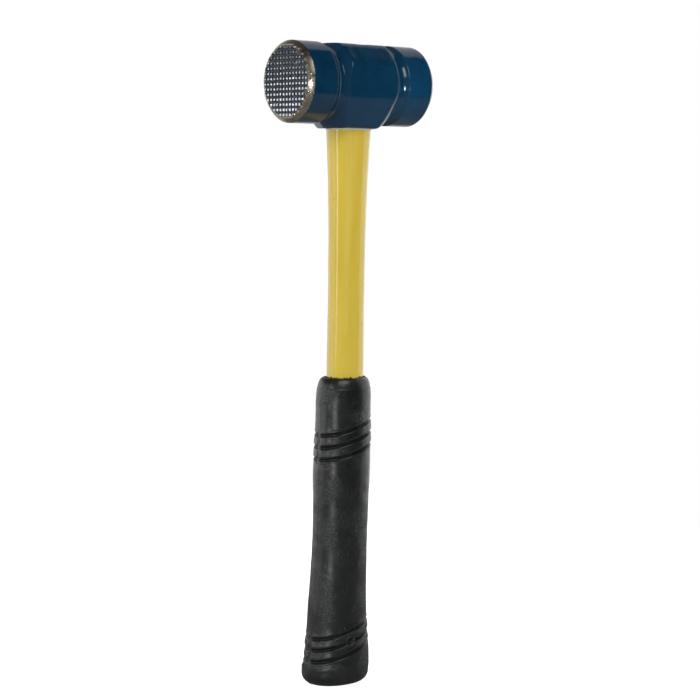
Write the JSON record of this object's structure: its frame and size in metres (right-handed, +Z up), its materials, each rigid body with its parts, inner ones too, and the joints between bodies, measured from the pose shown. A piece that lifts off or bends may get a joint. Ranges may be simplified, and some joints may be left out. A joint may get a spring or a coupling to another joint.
{
  "type": "dead blow hammer",
  "caption": "Steel-headed dead blow hammer with a checkered and a plain striking face, an oval yellow handle and a black rubber grip.",
  "frame": {"origin": "on the flat of the butt, on the handle's axis", "axes": "+Z up the handle to the head, +X towards the plain face, -X towards the checkered face, -Y towards the viewer of the usual picture"},
  "size_m": [0.1016, 0.0508, 0.4064],
  "materials": {
    "head_paint": "gloss blue enamel",
    "face_steel": "milled bright steel",
    "canister_steel": "drawn sheet steel",
    "shot_steel": "cast steel shot",
    "resin": "cast amber resin",
    "dam_foam": "pale soft foam",
    "rod_glassfibre": "pultruded glass fibre",
    "jacket_plastic": "gloss yellow moulding",
    "grip_rubber": "satin black moulded rubber"
  },
  "bodies": {
    "hammer": {"head_body": "head_paint", "checkered_face": "face_steel", "plain_face": "face_steel", "front_canister_cup": "canister_steel", "front_canister_lid": "canister_steel", "rear_canister_cup": "canister_steel", "rear_canister_lid": "canister_steel", "eye_resin": "resin", "resin_dam": "dam_foam", "handle_rod": "rod_glassfibre", "handle_jacket": "jacket_plastic", "grip": "grip_rubber"},
    "front_charge": {"front_shot": "shot_steel"},
    "rear_charge": {"rear_shot": "shot_steel"}
  },
  "joints": [
    {"name": "front_charge_slide", "type": "slide", "parent": "hammer", "child": "front_charge", "axis": [1, 0, 0], "range_m": [-0.0023, 0.0023]},
    {"name": "rear_charge_slide", "type": "slide", "parent": "hammer", "child": "rear_charge", "axis": [1, 0, 0], "range_m": [-0.0023, 0.0023]}
  ]
}
